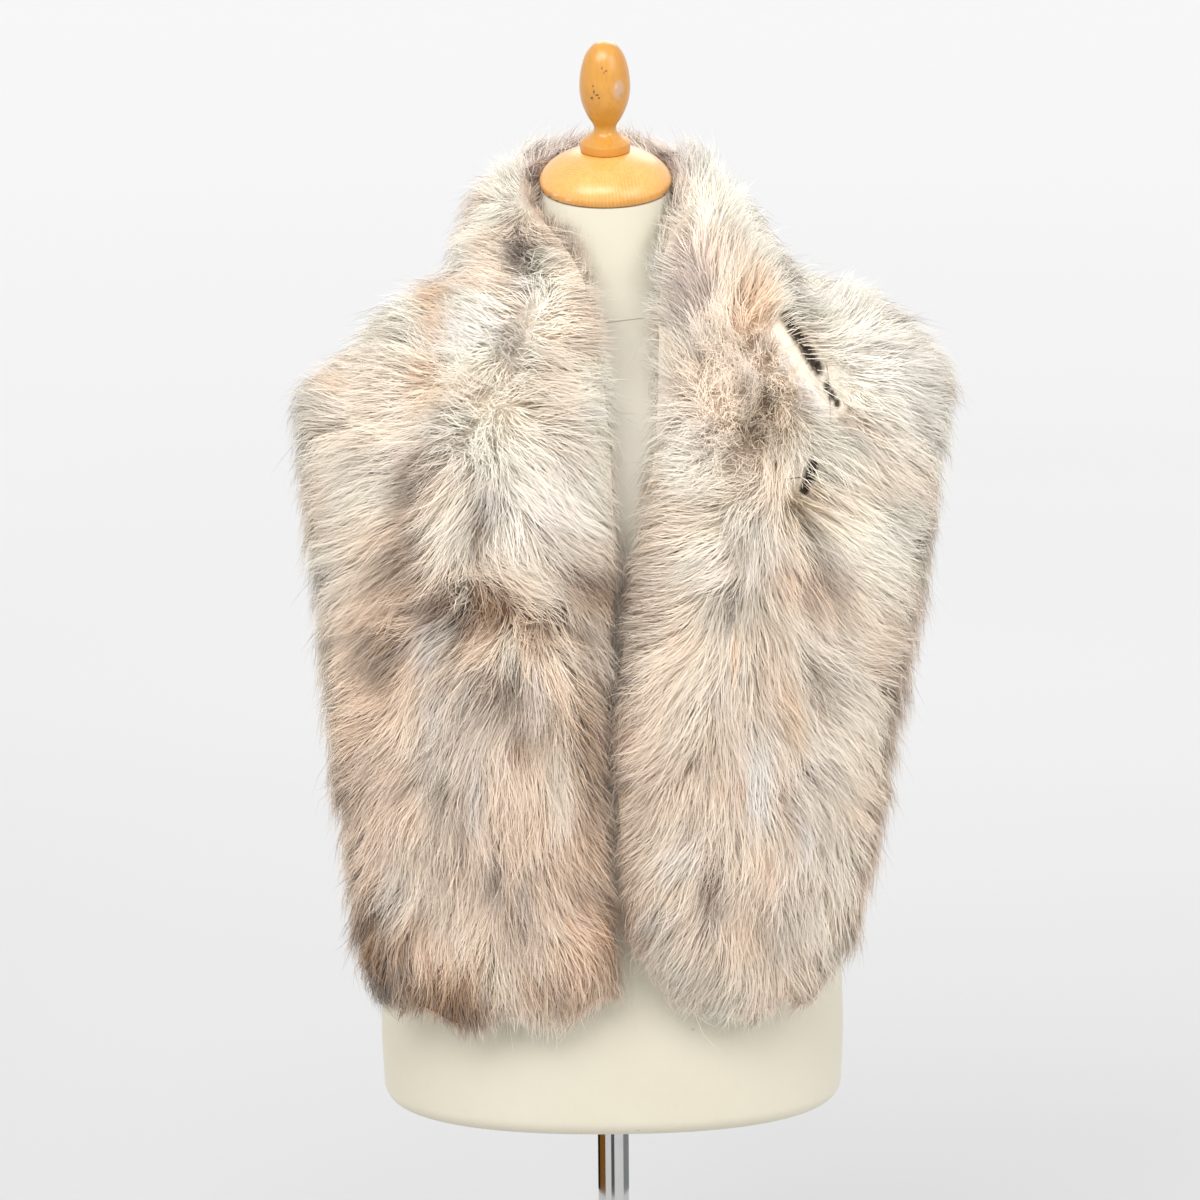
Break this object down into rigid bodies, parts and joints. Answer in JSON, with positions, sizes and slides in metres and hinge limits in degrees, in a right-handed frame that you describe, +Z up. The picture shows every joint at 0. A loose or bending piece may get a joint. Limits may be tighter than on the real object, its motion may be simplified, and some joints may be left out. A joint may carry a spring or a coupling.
{
  "type": "long-haired fur stole on a dress form with a stand",
  "caption": "Long-haired fur stole worn open round the neck of a limbless dress form, on a pole with a round base plate.",
  "frame": {"origin": "centre of the base plate's underside, on the surface that the stand is on", "axes": "+Z up; the wearer's front faces -Y, so the wearer's left side is at +X"},
  "size_m": [0.5094, 0.3869, 1.1726],
  "materials": {
    "fur": "long soft fur, cream to brown",
    "jersey": "fine ivory jersey",
    "wood": "honey varnish, satin gloss",
    "chrome": "polished"
  },
  "bodies": {
    "root": {"front_pelt_right": "fur", "front_pelt_left": "fur", "collar_pelt_right": "fur", "collar_pelt_left": "fur", "shoulder_pelt_right": "fur", "shoulder_pelt_left": "fur", "dress_form": "jersey", "neck_cap": "wood", "finial": "wood", "pole": "chrome", "base_plate": "chrome"}
  },
  "joints": []
}
